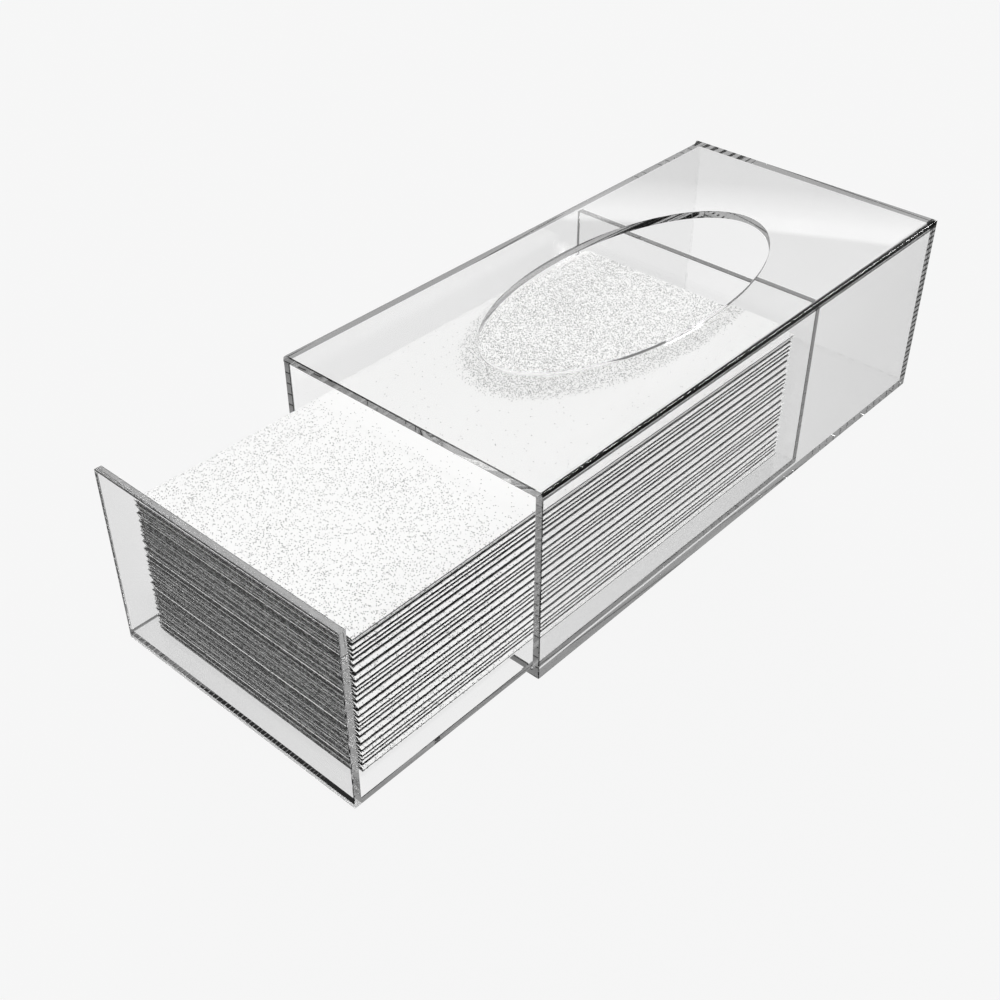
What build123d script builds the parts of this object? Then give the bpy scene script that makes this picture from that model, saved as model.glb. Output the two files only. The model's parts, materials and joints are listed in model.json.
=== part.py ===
from build123d import *
import os

# Clear acrylic tissue box: a sleeve with an oval opening in its roof, and a drawer without side
# walls that carries a stack of interfolded tissues.
# Lengths are in millimetres. The origin is on the table under the middle of the sleeve, X is across
# the box, the drawer pulls out towards -Y and Z is up. The drawer stands partly pulled out.

# Sleeve
sleeve_length = 250.0
sleeve_width = 121.0
sleeve_height = 80.0
sheet = 3.0  # thickness of every acrylic panel
edge_round = 0.5  # polished edges that a hand meets
roof_round_share = 0.65  # round of the roof's two long edges, as a share of the sheet

# Oval opening in the roof
oval_length = 155.0
oval_width = 72.0
oval_forward = 2.5  # how far the oval's middle lies in front of the sleeve's middle

# Drawer
drawer_pull = 82.4  # how far the drawer stands out of the sleeve
side_clearance = 0.25  # drawer to each side panel
floor_clearance = 0.3  # drawer to the sleeve's bottom panel
roof_clearance = 0.5  # drawer to the sleeve's roof
rear_clearance = 2.0  # drawer to the sleeve's back panel when its front is flush

# Tissue stack
tissue_count = 46
leaf_thickness = 0.3  # one leaf of a soft two-ply tissue
stack_headroom = 13.0  # top leaf to the sleeve's roof
stack_side_gap = 6.5  # outermost fold to the drawer's side edge
stack_front_gap = 7.0  # tissues to the drawer's front panel
stack_back_gap = 2.0  # tissues to the drawer's back panel
fold_stagger = 0.3  # how far the folds lie in and out along a side

# Every pair of leaves that lie back to back turns over at one side of the stack. From the top down
# the sides come in this order, which then repeats.
pair_sides = "RLRLRRLRLRLL"
# How far each fold of a side is set back, in the order of its folds, which then repeats.
set_back_shares = (0.0, 0.0, 0.5, 0.8, 1.0, 0.3)

# Sleeve faces
half_length = sleeve_length / 2
half_width = sleeve_width / 2
inner_width = sleeve_width - 2 * sheet
inner_height = sleeve_height - 2 * sheet
roof_z = sleeve_height - sheet
roof_edge_round = roof_round_share * sheet

# Drawer faces
drawer_width = inner_width - 2 * side_clearance
drawer_height = inner_height - floor_clearance - roof_clearance
drawer_length = sleeve_length - sheet - rear_clearance
drawer_bottom_z = sheet + floor_clearance
drawer_front_y = -half_length - drawer_pull
drawer_back_y = drawer_front_y + drawer_length
base_front_y = drawer_front_y + sheet
base_back_y = drawer_back_y - sheet

# Stack faces
stack_width = drawer_width - 2 * stack_side_gap
stack_front_y = base_front_y + stack_front_gap
stack_back_y = base_back_y - stack_back_gap
stack_top_z = roof_z - stack_headroom
stack_bottom_z = drawer_bottom_z + sheet
leaf_count = 2 * tissue_count
leaf_pitch = (stack_top_z - stack_bottom_z) / leaf_count


def panel(x_range, y_range, z_range):
    """A flat panel between two values on each axis."""
    spans = [high - low for low, high in (x_range, y_range, z_range)]
    middle = [(low + high) / 2 for low, high in (x_range, y_range, z_range)]
    return Pos(*middle) * Box(*spans)


def long_edges_rounded(solid, side, radius):
    """A roof or bottom panel with the long edges of its upper or lower face rounded."""
    face = solid.faces().filter_by(Axis.Z).sort_by(Axis.Z)[side]
    return fillet(face.edges().filter_by(Axis.Y), radius)


def sleeve_panels():
    """The roof and bottom run over the side panels, and the back panel stands between all four."""
    whole_x = (-half_width, half_width)
    whole_y = (-half_length, half_length)
    wall_z = (sheet, roof_z)

    roof = panel(whole_x, whole_y, (roof_z, sleeve_height))
    oval = extrude(Ellipse(oval_width / 2, oval_length / 2), sheet)
    roof = roof - Pos(0, -oval_forward, roof_z) * oval
    rim = roof.edges().filter_by(GeomType.ELLIPSE).sort_by(Axis.Z)[-1]
    roof = long_edges_rounded(fillet(rim, edge_round), -1, roof_edge_round)

    bottom = panel(whole_x, whole_y, (0, sheet))
    bottom = long_edges_rounded(bottom, 0, edge_round)

    return {
        "sleeve_top_panel": roof,
        "sleeve_bottom_panel": bottom,
        "sleeve_left_panel": panel((-half_width, -inner_width / 2), whole_y, wall_z),
        "sleeve_right_panel": panel((inner_width / 2, half_width), whole_y, wall_z),
        "sleeve_back_panel": panel(
            (-inner_width / 2, inner_width / 2), (half_length - sheet, half_length), wall_z
        ),
    }


def drawer_panels():
    """The base stands between the front and back panels, and the drawer has no side walls."""
    across = (-drawer_width / 2, drawer_width / 2)
    full_z = (drawer_bottom_z, drawer_bottom_z + drawer_height)

    front = panel(across, (drawer_front_y, base_front_y), full_z)
    front = fillet(front.faces().sort_by(Axis.Y)[0].edges(), edge_round)

    return {
        "drawer_front_panel": front,
        "drawer_base_panel": panel(
            across, (base_front_y, base_back_y), (drawer_bottom_z, stack_bottom_z)
        ),
        "drawer_back_panel": panel(across, (base_back_y, drawer_back_y), full_z),
    }


def side_of(pair):
    """The side, R or L, at which a pair of leaves turns over."""
    return pair_sides[pair % len(pair_sides)]


def folded_leaves(side):
    """The upper and lower leaf of each tissue that folds at this side, counted from the top.

    A pair's first leaf ends the tissue above it and its second leaf starts the tissue below it.
    The stack's very first and very last leaf have no such tissue, so they go to the other side.
    """
    turns = [pair for pair in range(tissue_count) if side_of(pair) == side]
    uppers = [2 * pair + 1 for pair in turns]
    lowers = [2 * pair for pair in turns]
    if side == side_of(0):
        lowers = lowers[1:]
    else:
        uppers = [0] + uppers
    if side == side_of(tissue_count - 1):
        uppers = uppers[:-1]
    else:
        lowers = lowers + [leaf_count - 1]
    return list(zip(uppers, lowers))


def leaf_z(leaf):
    """Height of the middle of a leaf, counted from the top."""
    return stack_top_z - leaf_pitch * (leaf + 0.5)


def leaf_reach(leaf, fold_room):
    """How far a leaf's free edge lies from the middle of the stack.

    The edge stops inside the fold of a neighbour, but the top and bottom leaf reach the side.
    """
    outermost = leaf in (0, leaf_count - 1)
    return stack_width / 2 - (0 if outermost else fold_room)


def tissue(upper, lower, toward, set_back, fold_room):
    """One tissue, folded in two round its neighbours' leaves, with its fold towards +X or -X."""
    middle_z = (leaf_z(upper) + leaf_z(lower)) / 2
    outer_radius = (leaf_z(upper) - leaf_z(lower) + leaf_thickness) / 2
    inner_radius = outer_radius - leaf_thickness
    turn_x = toward * (stack_width / 2 - set_back - outer_radius)
    leaves = [(sign, -toward * leaf_reach(leaf, fold_room)) for sign, leaf in ((1, upper), (-1, lower))]

    edges = []
    for radius in (outer_radius, inner_radius):
        start, end = ((turn_x, middle_z + sign * radius) for sign, _ in leaves)
        edges.append(ThreePointArc(start, (turn_x + toward * radius, middle_z), end))
        for sign, free_x in leaves:
            level = middle_z + sign * radius
            edges.append(Line((turn_x, level), (free_x, level)))
    for sign, free_x in leaves:
        corners = [(free_x, middle_z + sign * radius) for radius in (outer_radius, inner_radius)]
        edges.append(Line(*corners))
    section = Plane.XZ.offset(-stack_back_y) * make_face(edges)
    return extrude(section, stack_back_y - stack_front_y)


def tissues():
    """All tissues, numbered from the top of the stack down."""
    folds = []
    for side, toward in (("R", 1), ("L", -1)):
        for order, (upper, lower) in enumerate(folded_leaves(side)):
            share = set_back_shares[order % len(set_back_shares)]
            folds.append((upper, lower, toward, share * fold_stagger))
    widest_fold = max(lower - upper + 1 for upper, lower, _, _ in folds) * leaf_pitch
    fold_room = fold_stagger + widest_fold / 2
    return {
        f"tissue_{number:02d}": tissue(*fold, fold_room)
        for number, fold in enumerate(sorted(folds), start=1)
    }


os.makedirs("parts", exist_ok=True)
for name, solid in {**sleeve_panels(), **drawer_panels(), **tissues()}.items():
    export_step(solid, f"parts/{name}.step")
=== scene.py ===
import json
import math

import bmesh
import bpy
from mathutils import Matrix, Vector


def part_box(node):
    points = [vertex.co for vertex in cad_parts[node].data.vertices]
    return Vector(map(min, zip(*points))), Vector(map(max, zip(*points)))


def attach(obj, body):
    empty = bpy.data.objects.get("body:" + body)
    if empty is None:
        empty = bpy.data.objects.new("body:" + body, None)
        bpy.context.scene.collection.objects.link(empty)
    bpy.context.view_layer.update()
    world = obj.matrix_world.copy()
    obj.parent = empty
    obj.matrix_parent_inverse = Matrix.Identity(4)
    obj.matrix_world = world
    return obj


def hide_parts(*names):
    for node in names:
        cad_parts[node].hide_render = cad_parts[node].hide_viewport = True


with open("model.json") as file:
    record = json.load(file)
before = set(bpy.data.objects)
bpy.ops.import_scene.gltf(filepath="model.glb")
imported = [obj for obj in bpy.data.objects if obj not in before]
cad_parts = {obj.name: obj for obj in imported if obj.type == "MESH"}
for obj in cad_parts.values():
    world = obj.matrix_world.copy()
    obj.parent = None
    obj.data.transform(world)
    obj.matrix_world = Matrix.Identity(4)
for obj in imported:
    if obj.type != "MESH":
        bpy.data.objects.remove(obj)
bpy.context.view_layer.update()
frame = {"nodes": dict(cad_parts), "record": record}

# Clear acrylic tissue box: a sleeve with an oval opening in its roof, and a drawer that carries a
# stack of interfolded tissues. Lengths are in metres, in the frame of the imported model.
MM = 0.001

# Camera
LENS = 50.0  # focal length in millimetres, on a sensor of the size below
SENSOR = 36.0
CAMERA_PLACE = (277.19 * MM, -384.87 * MM, 339.20 * MM)
CAMERA_AZIMUTH = 42.05  # degrees, turned from looking along +Y
CAMERA_ELEVATION = 37.72  # degrees, looking down
CLIP_START = 1.0 * MM

# Studio
FLOOR_SIZE = 40.0
FLOOR_DROP = 0.05 * MM  # keeps the floor clear of the bottom panel's underside
BACKDROP = 0.92  # linear brightness of floor and backdrop where they are looked at
FLOOR_REFLECTED = 0.16  # the floor where the acrylic mirrors it
SKY_REFLECTED = 0.42  # the backdrop where the acrylic mirrors it
LOW_SKY_REFLECTED = 0.25  # the same below the light band
PIPED = 0.51  # both, seen along the inside of a panel through its edge
CLARITY = 0.983  # what is left of that after each turn inside the panel
MIRRORED_TURNS = 0.5  # a ray that was mirrored more often than this shows the mirrored level
PIPED_TURNS = 2.5  # and one that was mirrored more often than this the piped level
# Sines of the elevations where the mirrored light band starts, is full, starts to fade and ends
BAND = (0.415, 0.436, 0.441, 0.444)
BAND_BRIGHTNESS = 1.3
BAR_SLOPE = 1.15  # the mirrored light bar runs along Y, this much further to the right than up
BAR_HALF_WIDTH = 0.08
BAR_BACK = 0.4  # it lies only further back than this
BAR_BRIGHTNESS = 18.0
FLOOR_SHADE_SHARE = 0.06  # share of the floor's brightness that takes the shadow
AMBIENT = 0.04  # light from all round
FLOOR_BOUNCE = 0.05  # how much light the floor throws back on the box
# Each lamp: name, direction from the box to the lamp, strength, degrees across, and whether the acrylic
# mirrors it.
LAMPS = (
    ("key_light", (0.355, -0.15, 0.925), 3.2, 10.0, True),
    ("fill_light", (-0.8, 0.57, 0.15), 2.0, 30.0, False),
)
LIGHT_BOUNCES = 52  # light runs along inside the panels to their edges
PAPER_BOUNCES = 0

# Acrylic
REFRACTION = 1.49
FACE_GLOSS = 0.6  # how strongly a face mirrors what is straight in front of it
ARRIS = 0.35 * MM  # corner taken off along each straight edge of a panel
RIM_ARRIS = 0.15 * MM  # and round the oval
ARRIS_STEPS = 2
LONG_EDGE = 200.0 * MM  # the roof's edges along Y are longer, its other ones shorter
LONG_EDGE_ROUND = 1.95 * MM
ROUND_STEPS = 10
# Panels whose corners are as clear as their faces
CLEAR_CORNERS = ("sleeve_right_panel", "drawer_base_panel", "drawer_back_panel")
CORNER_ANGLE = 60.0  # degrees between two faces, from which their edge is a corner
SHARP_ANGLE = 20.0  # degrees between two faces, from which they are shaded apart
FACING = 0.9  # a face looks along an axis when its normal goes further along it than this
BOND_GAP = 0.01 * MM  # keeps the faces of bonded panels apart
OVAL_POINTS = 160
RIM_LAND = 1.5 * MM  # flat ring round the oval
RIM_INSET = 1.0 * MM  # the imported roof's points further in than this belong to the oval
DECIMALS = 6  # places that differ only after these decimals of a metre are one
CLEAR, CUT, BONDED, PAINTED_SHADE, SAWN = range(5)  # material slots of a panel; the fourth is a dark tint that paints shade on edges

FINE_DETAIL = 3.0  # how fine noise goes
COARSE_DETAIL = 1.0

# Finishes of the acrylic: grain is in features for each metre, and tints run from dark to light
NOISE_STOPS = (0.3, 0.7)  # where noise reaches the dark and the light tint
WIPE_GRAIN = 18.0
WIPE_STRETCH = (1.0, 0.35, 1.0)
WIPE_TINTS = (0.978, 0.997)
CUT_GRAIN = 500.0
CUT_SHADE = 0.92  # tint of the light that falls through a cut edge
POLISHED_TINTS = (0.8, 1.0)
# Painted shade: a dark tint on the roof's long side faces and on most small corners along the edges, in
# place of the dark look that light gives them there
PAINTED_SHADE_TINTS = (0.04, 0.08)
SAWN_TINTS = (0.93, 0.99)
SAWN_ROUGHNESS = 0.9

# Painted shade: rows of dark marks in the back panel's bonds, along the top on the left and down the
# right, in place of the hatching that light piped along the panels shows there
MARK_SPACING_X = 4.7 * MM
MARK_SPACING_Z = 2.5 * MM
MARK_SHARE = 0.4  # how much of the spacing a mark takes
MARK_GRAIN = 300.0
MARK_DRIFT_SHARE = 0.3  # how much of the spacing the marks stray
PAINTED_HATCH_TINT = 0.35
MARKED_BACK = 121.0 * MM  # all marks lie behind this
MARKED_TOP = 76.5 * MM  # those on the left lie above this
MARKED_LEFT = -32.0 * MM
MARKED_RIGHT = 57.0 * MM

# Tissues
CAD_LEAF = 0.3 * MM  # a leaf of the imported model's tissues
LEAF = 0.38 * MM
PAIR_GAP = 0.02 * MM  # between two leaves that lie back to back
FOLD_DEPTH = 3.2 * MM  # how far the leaves of a tissue take to part behind their fold
CREASE = 1.5  # 0.5 is a round fold, above 1 a pinched one
WANDER = 0.3 * MM
END_STAGGER = 0.15 * MM  # how unevenly the leaves end
LEDGE = 0.04 * MM  # how far the upper leaf of a pair ends behind the lower one
PROUD = 0.1 * MM  # one pair of leaves in every dozen stands forward by this much
DOZEN = 12
PROUD_PAIR = 6
GOLDEN = 0.618  # spreads uneven ends evenly
PROFILE_POINTS = 33
LENGTH_POINTS = 25
CROWDING = 3.0  # above 1 the points of the profile crowd at the fold
WANDER_PACE = 14.0  # how often a fold wanders in a metre
WANDER_APART = 7.3  # how far apart the wander of two tissues is read
END_FACING = 0.8  # a face is a cut end when its normal goes further along Y than this
CREASE_ANGLE = 50.0  # degrees between two faces, from which they are shaded apart

# Finish of the tissues: grain is in features for each metre
PAPER = (0.9, 0.9, 0.895)
PAPER_ROUGHNESS = 0.95
PAPER_SHEEN = 0.1
CREPE_GRAIN = 900.0
CREPE_STRETCH = (1.0, 0.3, 1.0)
CREPE_STRENGTH = 0.25
CREPE_HEIGHT = 0.1 * MM
# Dark dots: a few embossed pin dots all over, the rest painted shade in the oval patch and towards the
# front
DOT_GRAIN = 2100.0
DOT_SHARE = 0.42  # half the width of a dot, as a share of the spacing
PIN_DOT_AND_SHADE = (0.2, 0.2, 0.2)
PATCH_MIDDLE = (-9.01 * MM, 3.03 * MM)  # oval patch of dots towards the back, painted shade over the patch that light through the roof's opening falls on
PATCH_RADII = (42.92 * MM, 84.03 * MM)
PATCH_FADE_SHARE = 0.08  # how much of the radius the patch fades over
PATCH_DENSITY = 0.75
FRONT_DOTS = (-115.0 * MM, -135.0 * MM)  # where dots grow denser towards the front, painted shade on the tissue that lies in the open
FRONT_DENSITY = (0.01, 0.3)
DENSITY_GRAIN = 25.0
LEAST_DENSITY_SHARE = 0.5
# Painted shade on the cut ends: dark specks over about half of them
END_SPECK_GRAIN = 1500.0
END_SPECK_STOPS = (0.52, 0.72)  # specks up to the first are painted shade, and from the second on the paper's white
PAINTED_SHADE_SPECK = (0.03, 0.03, 0.03)
PAPER_WHITE_SPECK = (0.93, 0.93, 0.925)


def maths(tree, operation, *terms):
    """The result of a Math node on terms that are sockets or plain numbers."""
    step = tree.nodes.new("ShaderNodeMath")
    step.operation = operation
    for socket, term in zip(step.inputs, terms):
        if isinstance(term, bpy.types.NodeSocket):
            tree.links.new(term, socket)
        else:
            socket.default_value = term
    return step.outputs[0]


def add_node(tree, kind, **inputs):
    """A new node with its inputs set to values or linked to sockets, by name."""
    made = tree.nodes.new(kind)
    for name, value in inputs.items():
        socket = made.inputs[name.replace("_", " ")]
        if isinstance(value, bpy.types.NodeSocket):
            tree.links.new(value, socket)
        else:
            socket.default_value = value
    return made


def new_material(name):
    """An empty node material and its output's surface socket."""
    material = bpy.data.materials.new(name)
    material.use_nodes = True
    tree = material.node_tree
    tree.nodes.clear()
    output = tree.nodes.new("ShaderNodeOutputMaterial")
    return material, tree, output.inputs["Surface"]


def object_noise(tree, scale, detail=2.0, stretch=(1.0, 1.0, 1.0)):
    """Noise from 0 to 1 on Object coordinates. Scale is in features per metre."""
    place = tree.nodes.new("ShaderNodeTexCoord")
    turned = add_node(tree, "ShaderNodeMapping", Vector=place.outputs["Object"], Scale=stretch)
    noise = add_node(
        tree, "ShaderNodeTexNoise", Vector=turned.outputs["Vector"], Scale=scale, Detail=detail
    )
    return noise.outputs["Fac"]


def ramp(tree, factor, stops):
    """A colour ramp through stops of (place, colour)."""
    stops = list(stops)
    made = add_node(tree, "ShaderNodeValToRGB", Fac=factor)
    while len(made.color_ramp.elements) < len(stops):
        made.color_ramp.elements.new(1.0)
    for element, (place, colour) in zip(made.color_ramp.elements, stops):
        element.position = place
        element.color = (*colour, 1.0)
    return made.outputs["Color"]


def grey(level):
    """A colour without hue."""
    return (level, level, level)


def pass_light(tree, shader, tint):
    """Mixes in a plain see-through shader for light on its way to what the acrylic holds."""
    path = tree.nodes.new("ShaderNodeLightPath")
    through = add_node(tree, "ShaderNodeBsdfTransparent", Color=(*tint, 1.0))
    for kind in ("Is Shadow Ray", "Is Diffuse Ray"):
        mix = tree.nodes.new("ShaderNodeMixShader")
        tree.links.new(path.outputs[kind], mix.inputs[0])
        tree.links.new(shader, mix.inputs[1])
        tree.links.new(through.outputs["BSDF"], mix.inputs[2])
        shader = mix.outputs["Shader"]
    return shader


def clear_face_material():
    """The clear faces of cast acrylic sheet, with faint wipe marks."""
    material, tree, surface = new_material("clear_acrylic_face")
    haze = object_noise(tree, WIPE_GRAIN, FINE_DETAIL, WIPE_STRETCH)
    tint = ramp(tree, haze, zip(NOISE_STOPS, map(grey, WIPE_TINTS)))
    glass = add_node(
        tree,
        "ShaderNodeBsdfPrincipled",
        Base_Color=tint,
        Specular_Tint=(*grey(FACE_GLOSS), 1.0),
        Roughness=0.0,
        IOR=REFRACTION,
        Transmission_Weight=1.0,
    )
    tree.links.new(pass_light(tree, glass.outputs["BSDF"], grey(1.0)), surface)
    return material


def cut_edge_material(name, tints, roughness=0.0):
    """The cut edges of the sheet, with fine marks of the cut across them."""
    material, tree, surface = new_material(name)
    marks = object_noise(tree, CUT_GRAIN, FINE_DETAIL)
    tint = ramp(tree, marks, zip(NOISE_STOPS, map(grey, tints)))
    edge = add_node(
        tree,
        "ShaderNodeBsdfPrincipled",
        Base_Color=tint,
        Roughness=roughness,
        IOR=REFRACTION,
        Transmission_Weight=1.0,
    )
    tree.links.new(pass_light(tree, edge.outputs["BSDF"], grey(CUT_SHADE)), surface)
    return material


def bonded_joint_material():
    """Where two panels are bonded with solvent: clear, with rows of small dark marks of painted shade in
    some bonds, in place of the hatching that light piped along the panels shows.
    """
    material, tree, surface = new_material("clear_bonded_joint")
    place = tree.nodes.new("ShaderNodeTexCoord").outputs["Object"]
    across, along, up = add_node(tree, "ShaderNodeSeparateXYZ", Vector=place).outputs
    on_left = maths(tree, "LESS_THAN", across, MARKED_LEFT)
    on_left = maths(tree, "MULTIPLY", on_left, maths(tree, "GREATER_THAN", up, MARKED_TOP))
    marked = maths(tree, "MAXIMUM", on_left, maths(tree, "GREATER_THAN", across, MARKED_RIGHT))
    marked = maths(tree, "MULTIPLY", marked, maths(tree, "GREATER_THAN", along, MARKED_BACK))
    row = tree.nodes.new("ShaderNodeVectorMath")
    row.operation = "DOT_PRODUCT"
    tree.links.new(place, row.inputs[0])
    row.inputs[1].default_value = (1 / MARK_SPACING_X, 0.0, 1 / MARK_SPACING_Z)
    drift = object_noise(tree, MARK_GRAIN)
    uneven = maths(tree, "MULTIPLY_ADD", drift, MARK_DRIFT_SHARE, row.outputs["Value"])
    mark = maths(tree, "LESS_THAN", maths(tree, "FRACT", uneven), MARK_SHARE)
    mark = maths(tree, "MULTIPLY", mark, marked)
    # the marks darken the bond as painted shade
    tint = ramp(tree, mark, [(0.0, grey(1.0)), (1.0, grey(PAINTED_HATCH_TINT))])
    clear = add_node(tree, "ShaderNodeBsdfTransparent", Color=tint)
    tree.links.new(clear.outputs["BSDF"], surface)
    return material


def tissue_material():
    """Soft white tissue with a creped surface and dark dots: a few embossed pin dots all over, and many
    more as painted shade over the patch that light through the roof's opening falls on and towards the
    front.
    """
    material, tree, surface = new_material("white_tissue_paper")
    place = tree.nodes.new("ShaderNodeTexCoord").outputs["Object"]
    dots = add_node(tree, "ShaderNodeTexVoronoi", Vector=place, Scale=DOT_GRAIN)
    chance = add_node(tree, "ShaderNodeSeparateColor", Color=dots.outputs["Color"]).outputs["Red"]
    offset = [-middle / radius for middle, radius in zip(PATCH_MIDDLE, PATCH_RADII)]
    scale = [1 / radius for radius in PATCH_RADII]
    patch = add_node(
        tree, "ShaderNodeMapping", Vector=place, Location=(*offset, 0.0), Scale=(*scale, 0.0)
    )
    spread = add_node(tree, "ShaderNodeTexGradient", Vector=patch.outputs["Vector"])
    spread.gradient_type = "SPHERICAL"
    middle = add_node(
        tree,
        "ShaderNodeMapRange",
        Value=spread.outputs["Fac"],
        From_Max=PATCH_FADE_SHARE,
        To_Max=PATCH_DENSITY,
    )
    along = add_node(tree, "ShaderNodeSeparateXYZ", Vector=place).outputs["Y"]
    front = add_node(
        tree,
        "ShaderNodeMapRange",
        Value=along,
        From_Min=FRONT_DOTS[0],
        From_Max=FRONT_DOTS[1],
        To_Min=FRONT_DENSITY[0],
        To_Max=FRONT_DENSITY[1],
    )
    # dots gather as painted shade in the patch under the opening and towards the front
    both = maths(tree, "ADD", middle.outputs["Result"], front.outputs["Result"])
    share = maths(tree, "ADD", object_noise(tree, DENSITY_GRAIN, COARSE_DETAIL), LEAST_DENSITY_SHARE)
    density = maths(tree, "MULTIPLY", both, share)
    picked = maths(tree, "LESS_THAN", chance, density)
    near = maths(tree, "LESS_THAN", dots.outputs["Distance"], DOT_SHARE)
    dotted = maths(tree, "MULTIPLY", picked, near)
    colour = ramp(tree, dotted, [(0.0, PAPER), (1.0, PIN_DOT_AND_SHADE)])
    crepe = object_noise(tree, CREPE_GRAIN, FINE_DETAIL, CREPE_STRETCH)
    bump = add_node(
        tree, "ShaderNodeBump", Height=crepe, Strength=CREPE_STRENGTH, Distance=CREPE_HEIGHT
    )
    paper = add_node(
        tree,
        "ShaderNodeBsdfPrincipled",
        Base_Color=colour,
        Roughness=PAPER_ROUGHNESS,
        Specular_IOR_Level=PAPER_SHEEN,
        Normal=bump.outputs["Normal"],
    )
    tree.links.new(paper.outputs["BSDF"], surface)
    return material


def cut_end_material():
    """The cut ends of the tissues, rough, and speckled dark over about half of them as painted shade."""
    material, tree, surface = new_material("tissue_cut_end")
    place = tree.nodes.new("ShaderNodeTexCoord").outputs["Object"]
    ends = add_node(tree, "ShaderNodeTexVoronoi", Vector=place, Scale=END_SPECK_GRAIN)
    lit = add_node(tree, "ShaderNodeSeparateColor", Color=ends.outputs["Color"]).outputs["Red"]
    colour = ramp(tree, lit, zip(END_SPECK_STOPS, (PAINTED_SHADE_SPECK, PAPER_WHITE_SPECK)))
    paper = add_node(
        tree,
        "ShaderNodeBsdfPrincipled",
        Base_Color=colour,
        Roughness=PAPER_ROUGHNESS,
        Specular_IOR_Level=PAPER_SHEEN,
    )
    tree.links.new(paper.outputs["BSDF"], surface)
    return material


def backdrop_level(tree, mirrored_level):
    """Whether a ray shows the background itself, also in and through the acrylic, and how bright."""
    path = tree.nodes.new("ShaderNodeLightPath")
    direct = path.outputs["Is Camera Ray"]
    for kind in ("Is Glossy Ray", "Is Transmission Ray"):
        direct = maths(tree, "MAXIMUM", direct, path.outputs[kind])
    first = maths(tree, "LESS_THAN", path.outputs["Diffuse Depth"], 0.5)
    shown = maths(tree, "MULTIPLY", direct, first)
    turns = path.outputs["Glossy Depth"]
    piped = maths(tree, "MULTIPLY", maths(tree, "POWER", CLARITY, turns), PIPED)
    level = BACKDROP
    for least, changed in ((MIRRORED_TURNS, mirrored_level), (PIPED_TURNS, piped)):
        reached = maths(tree, "GREATER_THAN", turns, least)
        level = maths(tree, "MULTIPLY_ADD", reached, maths(tree, "SUBTRACT", changed, level), level)
    return shown, level


def floor_material():
    """Pale floor that keeps a soft shadow."""
    material, tree, surface = new_material("pale_floor")
    matt = add_node(tree, "ShaderNodeBsdfDiffuse", Color=(*grey(BACKDROP * FLOOR_SHADE_SHARE), 1.0))
    dull = add_node(tree, "ShaderNodeBsdfDiffuse", Color=(*grey(FLOOR_BOUNCE), 1.0))
    shown, level = backdrop_level(tree, FLOOR_REFLECTED)
    glow = add_node(
        tree,
        "ShaderNodeEmission",
        Color=(*grey(1.0), 1.0),
        Strength=maths(tree, "MULTIPLY", maths(tree, "MULTIPLY", shown, level), 1.0 - FLOOR_SHADE_SHARE),
    )
    base = tree.nodes.new("ShaderNodeMixShader")
    tree.links.new(shown, base.inputs[0])
    tree.links.new(dull.outputs["BSDF"], base.inputs[1])
    tree.links.new(matt.outputs["BSDF"], base.inputs[2])
    both = tree.nodes.new("ShaderNodeAddShader")
    tree.links.new(base.outputs["Shader"], both.inputs[0])
    tree.links.new(glow.outputs["Emission"], both.inputs[1])
    tree.links.new(both.outputs["Shader"], surface)
    return material


def link(piece):
    """Puts an object into the scene."""
    bpy.context.scene.collection.objects.link(piece)
    return piece


def add_piece(name, mesh, materials, body, slot, *nodes):
    """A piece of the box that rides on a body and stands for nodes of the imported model."""
    for material in materials:
        mesh.materials.append(material)
    piece = link(bpy.data.objects.new(name, mesh))
    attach(piece, body)
    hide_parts(*nodes)
    return piece


def bonds_of(node, mates):
    """Where other panels are bonded to this one, as pairs of corners of flat rectangles."""
    low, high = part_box(node)
    found = []
    for mate in mates:
        mate_low, mate_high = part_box(mate)
        near = Vector(map(max, low, mate_low))
        far = Vector(map(min, high, mate_high))
        flat = [abs(far[axis] - near[axis]) < BOND_GAP for axis in range(3)]
        if sum(flat) == 1 and all(f > n for n, f, thin in zip(near, far, flat) if not thin):
            found.append((near, far))
    return found


def block(low, high, bonds):
    """The surface of a block, divided so that each bonded rectangle has faces of its own."""
    cuts = []
    for axis in range(3):
        inner = {round(corner[axis], DECIMALS) for bond in bonds for corner in bond}
        inner = sorted(c for c in inner if low[axis] + BOND_GAP < c < high[axis] - BOND_GAP)
        cuts.append([low[axis] + BOND_GAP, *inner, high[axis] - BOND_GAP])
    shape = bmesh.new()
    made = {}

    def corner(*steps):
        if steps not in made:
            made[steps] = shape.verts.new([cuts[axis][step] for axis, step in enumerate(steps)])
        return made[steps]

    for axis in range(3):
        across, along = (axis + 1) % 3, (axis + 2) % 3
        for end in (0, len(cuts[axis]) - 1):
            for i in range(len(cuts[across]) - 1):
                for k in range(len(cuts[along]) - 1):
                    ring = []
                    for step in ((i, k), (i + 1, k), (i + 1, k + 1), (i, k + 1)):
                        steps = [end, end, end]
                        steps[across], steps[along] = step
                        ring.append(corner(*steps))
                    shape.faces.new(ring if end else ring[::-1])
    return shape


def oval_of(node, low, high):
    """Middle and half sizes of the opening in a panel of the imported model."""
    rim = [
        v.co
        for v in frame["nodes"][node].data.vertices
        if v.co.z < low.z + BOND_GAP
        and low.x + RIM_INSET < v.co.x < high.x - RIM_INSET
        and low.y + RIM_INSET < v.co.y < high.y - RIM_INSET
    ]
    xs, ys = [p.x for p in rim], [p.y for p in rim]
    middle = Vector(((min(xs) + max(xs)) / 2, (min(ys) + max(ys)) / 2, 0.0))
    return middle, (max(xs) - min(xs)) / 2, (max(ys) - min(ys)) / 2


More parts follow.
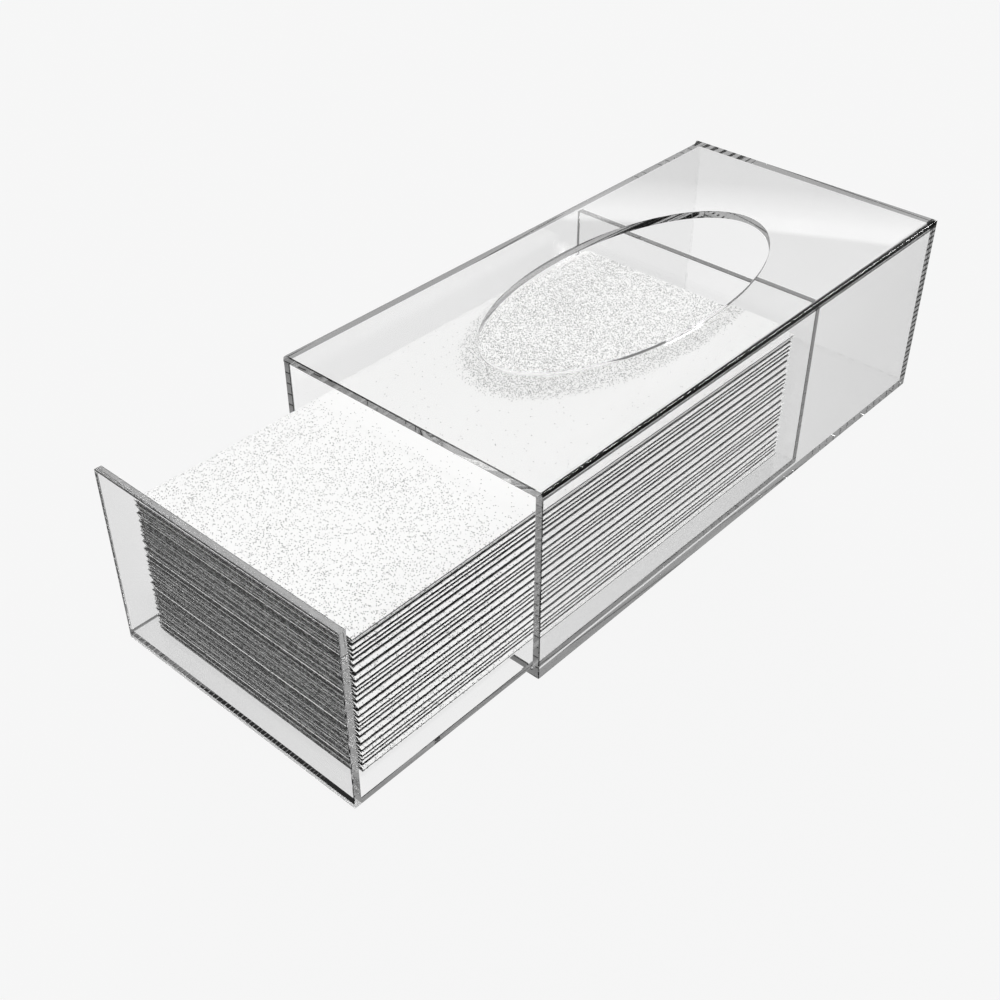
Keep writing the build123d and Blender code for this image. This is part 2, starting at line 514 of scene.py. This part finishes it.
def cut_oval(shape, middle, half_x, half_y):
    """Cuts an oval opening with a plain rim through the largest upper and lower face of a block."""
    rims = []
    for up in (1.0, -1.0):
        shape.normal_update()
        face = max((f for f in shape.faces if f.normal.z * up > FACING), key=lambda f: f.calc_area())
        border, z = list(face.edges), face.verts[0].co.z
        shape.faces.remove(face)
        rings = []
        for wider in (0.0, RIM_LAND):
            rings.append([])
            for i in range(OVAL_POINTS):
                turn = 2 * math.pi * i / OVAL_POINTS
                x = middle.x + (half_x + wider) * math.cos(turn)
                y = middle.y + (half_y + wider) * math.sin(turn)
                rings[-1].append(shape.verts.new((x, y, z)))
        inner, outer = rings
        for i in range(OVAL_POINTS):
            shape.faces.new((inner[i - 1], outer[i - 1], outer[i], inner[i]))
        border += [shape.edges.get((outer[i - 1], outer[i])) for i in range(OVAL_POINTS)]
        bmesh.ops.triangle_fill(shape, use_beauty=True, edges=border)
        rims.append(inner)
    upper, lower = rims
    for i in range(OVAL_POINTS):
        wall = shape.faces.new((upper[i - 1], upper[i], lower[i], lower[i - 1]))
        wall.smooth = True
    bmesh.ops.recalc_face_normals(shape, faces=shape.faces)


def take_corners(shape, edges, offset, steps, finish):
    """Bevels edges of a panel and gives back the new faces."""
    cut = bmesh.ops.bevel(
        shape, geom=edges, offset=offset, segments=steps, profile=0.5, affect="EDGES", material=finish
    )
    return cut["faces"]


def open_corners(shape):
    """The sharp outer edges of a panel at which no other panel is bonded to it."""
    shape.normal_update()
    return [
        edge
        for edge in shape.edges
        if edge.calc_face_angle(0.0) > math.radians(CORNER_ANGLE)
        and all(face.material_index != BONDED for face in edge.link_faces)
    ]


def is_rounded(node, edge):
    """Whether an edge is one of the roof's two long ones."""
    run = edge.verts[0].co - edge.verts[1].co
    return node == "sleeve_top_panel" and abs(run.y) > LONG_EDGE


def edge_finish(node, face, low, high):
    """The material slot of a face along the edge of a panel."""
    middle = face.calc_center_median()
    at_side = min(middle.x - low.x, high.x - middle.x) < 2 * BOND_GAP
    # the roof's long side faces get the dark tint of painted shade
    if node == "sleeve_top_panel" and at_side:
        return PAINTED_SHADE
    if node == "drawer_front_panel" and face.normal.z < -FACING:
        return SAWN
    return CUT


def corner_finish(node, face, high):
    """The material slot of a small corner taken off along the edge of a panel: clear, or the dark tint
    of painted shade.
    """
    at_right = face.calc_center_median().x > high.x - 2 * ARRIS
    if node in CLEAR_CORNERS or (node == "drawer_front_panel" and at_right):
        return CLEAR
    return PAINTED_SHADE


def panel_mesh(name, node, mates):
    """A panel of clear sheet, with its corners taken off where no other panel is bonded to it."""
    low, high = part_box(node)
    bonds = bonds_of(node, mates)
    shape = block(low, high, bonds)
    if node == "sleeve_top_panel":
        cut_oval(shape, *oval_of(node, low, high))
    spans = high - low
    thin = min(range(3), key=lambda axis: spans[axis])
    shape.normal_update()
    for face in shape.faces:
        middle = face.calc_center_median()
        bonded = any(
            all(n - 2 * BOND_GAP < m < f + 2 * BOND_GAP for n, m, f in zip(near, middle, far))
            for near, far in bonds
        )
        if bonded:
            face.material_index = BONDED
        elif abs(face.normal[thin]) > FACING:
            face.material_index = CLEAR
        else:
            face.material_index = edge_finish(node, face, low, high)
    long_ones = [edge for edge in open_corners(shape) if is_rounded(node, edge)]
    for face in take_corners(shape, long_ones, LONG_EDGE_ROUND, ROUND_STEPS, CLEAR):
        face.smooth = True
    rim = [edge for edge in open_corners(shape) if any(face.smooth for face in edge.link_faces)]
    take_corners(shape, rim, RIM_ARRIS, ARRIS_STEPS, CLEAR)
    straight = [edge for edge in open_corners(shape) if edge.calc_length() > RIM_LAND]
    # small corners along straight edges get the painted shade unless corner_finish makes them clear
    for face in take_corners(shape, straight, ARRIS, ARRIS_STEPS, PAINTED_SHADE):
        face.material_index = corner_finish(node, face, high)
    mesh = bpy.data.meshes.new(name)
    shape.to_mesh(mesh)
    shape.free()
    mesh.set_sharp_from_angle(angle=math.radians(SHARP_ANGLE))
    return mesh


def add_panels():
    """All acrylic panels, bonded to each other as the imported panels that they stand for."""
    edge = cut_edge_material("polished_cut_edge", POLISHED_TINTS)
    # the dark tint that paints shade on edges
    shaded = cut_edge_material("painted_shade_edge", PAINTED_SHADE_TINTS)
    sawn = cut_edge_material("sawn_edge", SAWN_TINTS, SAWN_ROUGHNESS)
    finishes = [clear_face_material(), edge, bonded_joint_material(), shaded, sawn]
    for body in ("sleeve", "drawer"):
        carried = frame["record"]["behaviour"]["bodies"][body]
        panels = [node for node in carried if node.endswith("_panel")]
        for node in panels:
            name = "acrylic_" + node
            mesh = panel_mesh(name, node, [mate for mate in panels if mate != node])
            add_piece(name, mesh, finishes, body, "clear_acrylic", node)


TISSUE_INPUTS = {
    "Side": "NodeSocketFloat",
    "Fold Tip": "NodeSocketFloat",
    "Upper Leaf Length": "NodeSocketFloat",
    "Lower Leaf Length": "NodeSocketFloat",
    "Upper Leaf Height": "NodeSocketFloat",
    "Lower Leaf Height": "NodeSocketFloat",
    "Upper Leaf Front": "NodeSocketFloat",
    "Lower Leaf Front": "NodeSocketFloat",
    "Fold Length": "NodeSocketFloat",
    "Leaf Thickness": "NodeSocketFloat",
    "Fold Depth": "NodeSocketFloat",
    "Crease": "NodeSocketFloat",
    "Wander": "NodeSocketFloat",
    "Seed": "NodeSocketFloat",
    "Paper": "NodeSocketMaterial",
    "Cut Ends": "NodeSocketMaterial",
}


def tissue_tree():
    """Geometry Nodes that fold one sheet in two: a flat closed slab, bent round its fold line.

    The slab's X runs from the upper leaf's free edge round the fold to the lower one, its Y along
    the fold, and its Z from the inside of the fold to the outside.
    """
    tree = bpy.data.node_groups.new("folded_tissue", "GeometryNodeTree")
    for name, kind in TISSUE_INPUTS.items():
        tree.interface.new_socket(name, in_out="INPUT", socket_type=kind)
    tree.interface.new_socket("Geometry", in_out="OUTPUT", socket_type="NodeSocketGeometry")
    given = tree.nodes.new("NodeGroupInput").outputs

    slab = add_node(tree, "GeometryNodeMeshCube", Size=(1.0, 1.0, 1.0))
    for name, count in (("X", PROFILE_POINTS), ("Y", LENGTH_POINTS), ("Z", 2)):
        slab.inputs["Vertices " + name].default_value = count
    place = tree.nodes.new("GeometryNodeInputPosition")
    split = add_node(tree, "ShaderNodeSeparateXYZ", Vector=place.outputs["Position"])
    along, across, layer = split.outputs

    # From -1 on the upper leaf to 1 on the lower one, and 0 at the fold.
    turn = maths(tree, "MULTIPLY", along, 2.0)
    from_fold = maths(tree, "ABSOLUTE", turn)
    lower = maths(tree, "GREATER_THAN", turn, 0.0)
    longer = maths(tree, "SUBTRACT", given["Lower Leaf Length"], given["Upper Leaf Length"])
    length = maths(tree, "MULTIPLY_ADD", lower, longer, given["Upper Leaf Length"])
    inward = maths(tree, "MULTIPLY", maths(tree, "POWER", from_fold, CROWDING), length)

    # The leaves part over the depth of the fold.
    share = maths(tree, "MINIMUM", maths(tree, "DIVIDE", inward, given["Fold Depth"]), 1.0)
    rest = maths(tree, "SUBTRACT", 1.0, share)
    parted = maths(tree, "SUBTRACT", 1.0, maths(tree, "MULTIPLY", rest, rest))
    parted = maths(tree, "POWER", parted, given["Crease"])
    height = maths(tree, "SUBTRACT", given["Upper Leaf Height"], given["Lower Leaf Height"])
    half = maths(tree, "MULTIPLY", height, 0.5)
    half = maths(tree, "MULTIPLY_ADD", layer, given["Leaf Thickness"], half)
    side = maths(tree, "SIGN", turn)
    level = maths(tree, "ADD", given["Upper Leaf Height"], given["Lower Leaf Height"])
    level = maths(tree, "MULTIPLY", level, 0.5)
    drop = maths(tree, "MULTIPLY", maths(tree, "MULTIPLY", side, half), parted)
    z = maths(tree, "SUBTRACT", level, drop)

    # Fold and ends wander a little along their length.
    skew = maths(tree, "SUBTRACT", given["Lower Leaf Front"], given["Upper Leaf Front"])
    front = maths(tree, "MULTIPLY_ADD", maths(tree, "ADD", along, 0.5), skew, given["Upper Leaf Front"])
    y = maths(tree, "MULTIPLY_ADD", maths(tree, "ADD", across, 0.5), given["Fold Length"], front)
    drift = add_node(tree, "ShaderNodeTexNoise", Scale=1.0, Detail=COARSE_DETAIL)
    drift.noise_dimensions = "2D"
    where = add_node(
        tree,
        "ShaderNodeCombineXYZ",
        X=maths(tree, "MULTIPLY", y, WANDER_PACE),
        Y=maths(tree, "MULTIPLY", given["Seed"], WANDER_APART),
    )
    tree.links.new(where.outputs["Vector"], drift.inputs["Vector"])
    stray = maths(tree, "MULTIPLY", maths(tree, "SUBTRACT", drift.outputs["Fac"], 0.5), given["Wander"])
    thick = maths(tree, "MULTIPLY", maths(tree, "SUBTRACT", 0.5, layer), given["Leaf Thickness"])
    reach = maths(tree, "SUBTRACT", maths(tree, "SUBTRACT", given["Fold Tip"], thick), inward)
    x = maths(tree, "MULTIPLY", given["Side"], maths(tree, "ADD", reach, stray))

    bent = add_node(tree, "ShaderNodeCombineXYZ", X=x, Y=y, Z=z)
    moved = add_node(tree, "GeometryNodeSetPosition", Geometry=slab.outputs["Mesh"])
    tree.links.new(bent.outputs["Vector"], moved.inputs["Position"])
    mirrored = add_node(tree, "GeometryNodeFlipFaces", Mesh=moved.outputs["Geometry"])
    tree.links.new(maths(tree, "LESS_THAN", given["Side"], 0.0), mirrored.inputs["Selection"])
    whole = add_node(tree, "GeometryNodeRealizeInstances", Geometry=mirrored.outputs["Mesh"])
    painted = add_node(tree, "GeometryNodeSetMaterial", Geometry=whole.outputs["Geometry"])
    tree.links.new(given["Paper"], painted.inputs["Material"])
    facing = add_node(
        tree, "ShaderNodeSeparateXYZ", Vector=tree.nodes.new("GeometryNodeInputNormal").outputs["Normal"]
    )
    at_end = maths(tree, "GREATER_THAN", maths(tree, "ABSOLUTE", facing.outputs["Y"]), END_FACING)
    ended = add_node(
        tree,
        "GeometryNodeSetMaterial",
        Geometry=painted.outputs["Geometry"],
        Selection=at_end,
        Material=given["Cut Ends"],
    )
    soft = add_node(tree, "GeometryNodeSetShadeSmooth", Geometry=ended.outputs["Geometry"])
    sharp = add_node(
        tree, "GeometryNodeSetShadeSmooth", Geometry=soft.outputs["Geometry"], Shade_Smooth=False
    )
    sharp.domain = "EDGE"
    bend = tree.nodes.new("GeometryNodeInputMeshEdgeAngle").outputs["Unsigned Angle"]
    creased = maths(tree, "GREATER_THAN", bend, math.radians(CREASE_ANGLE))
    tree.links.new(creased, sharp.inputs["Selection"])
    output = tree.nodes.new("NodeGroupOutput")
    tree.links.new(sharp.outputs["Geometry"], output.inputs["Geometry"])
    return tree


def made_by(tree, name, values):
    """A plain mesh that a Geometry Nodes tree makes from these input values."""
    maker = link(bpy.data.objects.new(name, bpy.data.meshes.new(name)))
    modifier = maker.modifiers.new("shape", "NODES")
    modifier.node_group = tree
    sockets = {s.name: s.identifier for s in tree.interface.items_tree if s.in_out == "INPUT"}
    for key, value in values.items():
        modifier[sockets[key]] = value
    bpy.context.view_layer.update()
    ready = maker.evaluated_get(bpy.context.evaluated_depsgraph_get())
    mesh = bpy.data.meshes.new_from_object(ready)
    bpy.data.objects.remove(maker)
    mesh.name = name
    return mesh


def add_tissues():
    """Every tissue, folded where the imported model's tissue folds."""
    nodes = sorted(n for n in frame["nodes"] if n.startswith("tissue_"))
    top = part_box(nodes[0])[1].z - CAD_LEAF / 2
    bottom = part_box(nodes[-1])[0].z + CAD_LEAF / 2
    pitch = (top - bottom) / (2 * len(nodes) - 1)
    tree = tissue_tree()
    paper, cut_end = tissue_material(), cut_end_material()

    def leaf_place(middle, front):
        """Height and front end of a leaf, once the leaves of its pair are pressed together."""
        leaf = round((top - middle) / pitch)
        pair = leaf // 2
        pair_height = top - pitch * (2 * pair + 0.5)
        stagger = END_STAGGER * ((pair * GOLDEN) % 1.0)
        if leaf % 2 == 0:
            stagger += LEDGE
        if pair % DOZEN == PROUD_PAIR:
            stagger = -PROUD
        return pair_height + (0.5 - leaf % 2) * (LEAF + PAIR_GAP), front + stagger

    for node in reversed(nodes):
        low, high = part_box(node)
        middle_x = (low.x + high.x) / 2
        vertices = frame["nodes"][node].data.vertices
        rightward = sum(1 if v.co.x > middle_x else -1 for v in vertices)
        side = 1.0 if rightward > 0 else -1.0
        upper, upper_front = leaf_place(high.z - CAD_LEAF / 2, low.y)
        lower, lower_front = leaf_place(low.z + CAD_LEAF / 2, low.y)
        width = high.x - low.x
        fold_length = high.y - low.y - END_STAGGER - LEDGE
        values = {
            "Side": side,
            "Fold Tip": max(side * low.x, side * high.x),
            "Upper Leaf Length": width - LEAF,
            "Lower Leaf Length": width - LEAF,
            "Upper Leaf Height": upper,
            "Lower Leaf Height": lower,
            "Upper Leaf Front": upper_front,
            "Lower Leaf Front": lower_front,
            "Fold Length": fold_length,
            "Leaf Thickness": LEAF,
            "Fold Depth": FOLD_DEPTH,
            "Crease": CREASE,
            "Wander": WANDER,
            "Seed": float(nodes.index(node)),
            "Paper": paper,
            "Cut Ends": cut_end,
        }
        name = "folded_" + node
        mesh = made_by(tree, name, values)
        piece = add_piece(name, mesh, [], "drawer", "tissue_paper", node)


def add_stage():
    """Floor, world, lights and camera."""
    scene = bpy.context.scene
    half = FLOOR_SIZE / 2
    mesh = bpy.data.meshes.new("floor")
    outline = ((-half, -half), (half, -half), (half, half), (-half, half))
    corners = [(x, y, -FLOOR_DROP) for x, y in outline]
    mesh.from_pydata(corners, [], [(0, 1, 2, 3)])
    mesh.materials.append(floor_material())
    link(bpy.data.objects.new("floor", mesh))

    world = bpy.data.worlds.new("studio")
    world.use_nodes = True
    tree = world.node_tree
    tree.nodes.clear()
    heading = tree.nodes.new("ShaderNodeTexCoord").outputs["Generated"]
    right, back, rise = add_node(tree, "ShaderNodeSeparateXYZ", Vector=heading).outputs
    start, full, last, end = BAND
    grown = add_node(tree, "ShaderNodeMapRange", Value=rise, From_Min=start, From_Max=full)
    past = add_node(tree, "ShaderNodeMapRange", Value=rise, From_Min=last, From_Max=end)
    brighter = BAND_BRIGHTNESS - LOW_SKY_REFLECTED
    band = maths(tree, "MULTIPLY_ADD", grown.outputs["Result"], brighter, LOW_SKY_REFLECTED)
    above = maths(tree, "SUBTRACT", SKY_REFLECTED, band)
    band = maths(tree, "MULTIPLY_ADD", past.outputs["Result"], above, band)
    aside = maths(tree, "ABSOLUTE", maths(tree, "MULTIPLY_ADD", rise, -BAR_SLOPE, right))
    bar = maths(tree, "LESS_THAN", aside, BAR_HALF_WIDTH)
    bar = maths(tree, "MULTIPLY", bar, maths(tree, "GREATER_THAN", back, BAR_BACK))
    band = maths(tree, "MULTIPLY_ADD", bar, BAR_BRIGHTNESS, band)
    shown, level = backdrop_level(tree, band)
    lift = maths(tree, "MULTIPLY_ADD", shown, maths(tree, "SUBTRACT", level, AMBIENT), AMBIENT)
    sky = add_node(tree, "ShaderNodeBackground", Color=(*grey(1.0), 1.0), Strength=lift)
    output = tree.nodes.new("ShaderNodeOutputWorld")
    tree.links.new(sky.outputs["Background"], output.inputs["Surface"])
    scene.world = world

    for name, towards, strength, angle, mirrored in LAMPS:
        light = bpy.data.lights.new(name, "SUN")
        light.energy = strength
        light.angle = math.radians(angle)
        lamp = link(bpy.data.objects.new(name, light))
        lamp.rotation_euler = Vector(towards).to_track_quat("Z", "Y").to_euler()
        lamp.visible_glossy = mirrored
        lamp.visible_transmission = mirrored

    view = bpy.data.cameras.new("camera")
    view.lens = LENS
    view.sensor_width = SENSOR
    view.clip_start = CLIP_START
    camera = link(bpy.data.objects.new("camera", view))
    camera.location = CAMERA_PLACE
    camera.rotation_euler = (math.radians(90 - CAMERA_ELEVATION), 0.0, math.radians(CAMERA_AZIMUTH))
    scene.camera = camera

    scene.view_settings.view_transform = "Standard"
    scene.cycles.max_bounces = LIGHT_BOUNCES
    scene.cycles.transmission_bounces = LIGHT_BOUNCES
    scene.cycles.glossy_bounces = LIGHT_BOUNCES
    scene.cycles.transparent_max_bounces = LIGHT_BOUNCES
    scene.cycles.diffuse_bounces = PAPER_BOUNCES


add_panels()
add_tissues()
add_stage()
